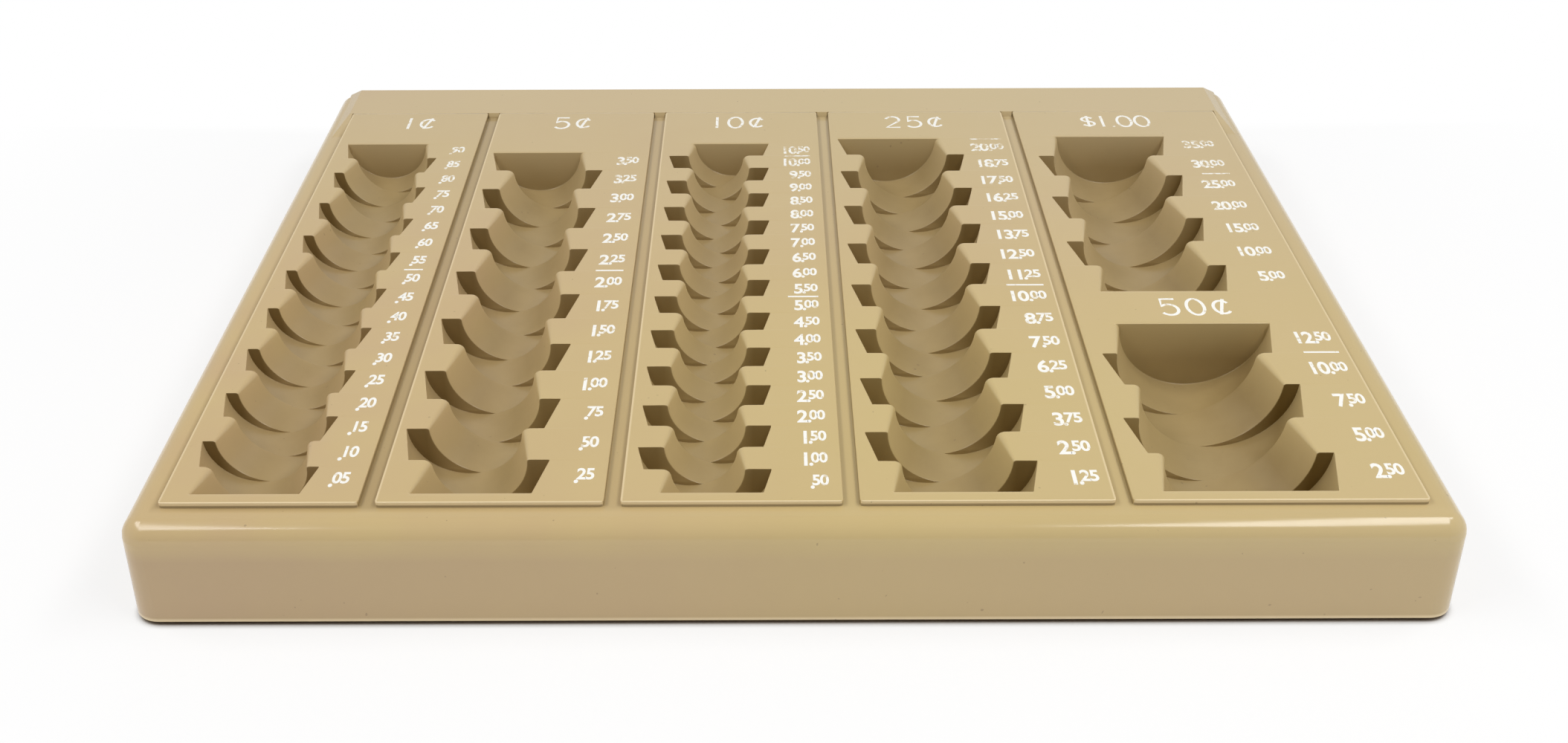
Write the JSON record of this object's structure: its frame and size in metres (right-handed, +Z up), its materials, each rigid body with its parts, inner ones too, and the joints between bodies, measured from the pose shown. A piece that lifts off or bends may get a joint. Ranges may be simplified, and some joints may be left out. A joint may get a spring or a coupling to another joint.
{
  "type": "coin tray",
  "caption": "Low counter coin tray: a moulded beige body with drop-in racks whose half-round cradles zig-zag so that coins stand on edge in counted groups.",
  "frame": {"origin": "centre of the footprint, on the surface that the feet stand on", "axes": "+X to the right along the front edge, +Y to the back, +Z up"},
  "size_m": [0.2448, 0.1922, 0.023],
  "materials": {
    "body_plastic": "satin moulded beige",
    "rack_plastic": "satin moulded beige",
    "screw_steel": "zinc plated",
    "foot_rubber": "matt black rubber"
  },
  "bodies": {
    "root": {"tray_body": "body_plastic", "penny_rack": "rack_plastic", "nickel_rack": "rack_plastic", "dime_rack": "rack_plastic", "quarter_rack": "rack_plastic", "dollar_half_rack": "rack_plastic", "penny_rack_screws": "screw_steel", "nickel_rack_screws": "screw_steel", "dime_rack_screws": "screw_steel", "quarter_rack_screws": "screw_steel", "dollar_half_rack_screws": "screw_steel", "front_left_foot": "foot_rubber", "front_right_foot": "foot_rubber", "rear_left_foot": "foot_rubber", "rear_right_foot": "foot_rubber"}
  },
  "joints": []
}
